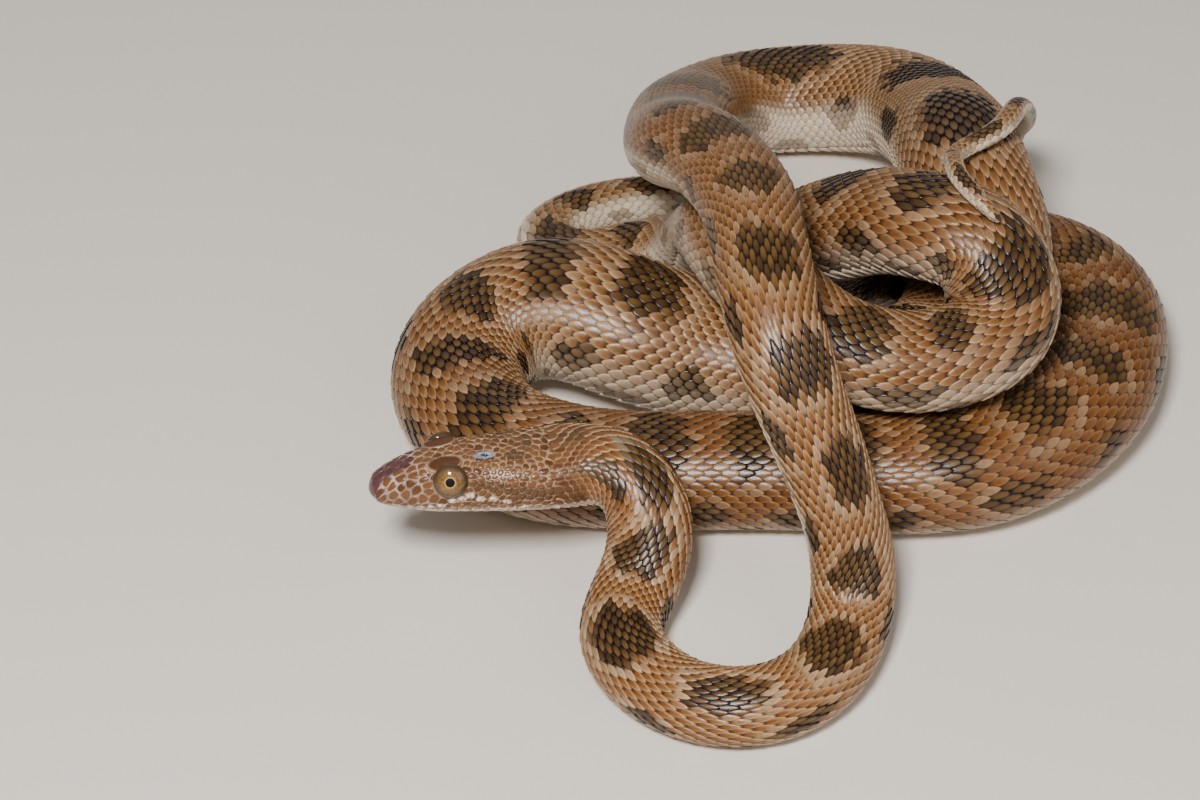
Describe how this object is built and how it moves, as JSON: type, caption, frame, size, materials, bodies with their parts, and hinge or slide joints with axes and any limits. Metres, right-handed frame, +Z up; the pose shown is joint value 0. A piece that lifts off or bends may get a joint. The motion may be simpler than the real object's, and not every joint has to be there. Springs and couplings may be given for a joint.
{
  "type": "coiled diadem snake",
  "caption": "Life-size still model of a diadem snake resting in a loose pile of coils, with its head raised at the front left and its thin tail over the top.",
  "frame": {"origin": "centre of the base of the whole pile, on the floor", "axes": "+Z up, +Y towards the back of the pile, -X the way the head points"},
  "size_m": [0.1397, 0.184, 0.0583],
  "materials": {
    "scaled_skin": "dry overlapping scales with a soft sheen, sandy orange with olive-brown blotches",
    "eye": "wet gloss, golden-brown iris with a round black pupil"
  },
  "bodies": {
    "root": {"head": "scaled_skin", "lower_jaw": "scaled_skin", "eye_left": "eye", "eye_right": "eye", "neck": "scaled_skin", "front_loop": "scaled_skin", "arch_rise": "scaled_skin", "arch_crown": "scaled_skin", "rear_bend": "scaled_skin", "back_loop": "scaled_skin", "shoulder": "scaled_skin", "under_length": "scaled_skin", "thickest_length": "scaled_skin", "left_coil": "scaled_skin", "front_coil": "scaled_skin", "right_coil": "scaled_skin", "hidden_length": "scaled_skin", "inner_rise": "scaled_skin", "inner_bend": "scaled_skin", "inner_front": "scaled_skin", "descent": "scaled_skin", "tail_root": "scaled_skin", "tail_base": "scaled_skin", "tail_climb": "scaled_skin", "tail_tip": "scaled_skin"}
  },
  "joints": []
}
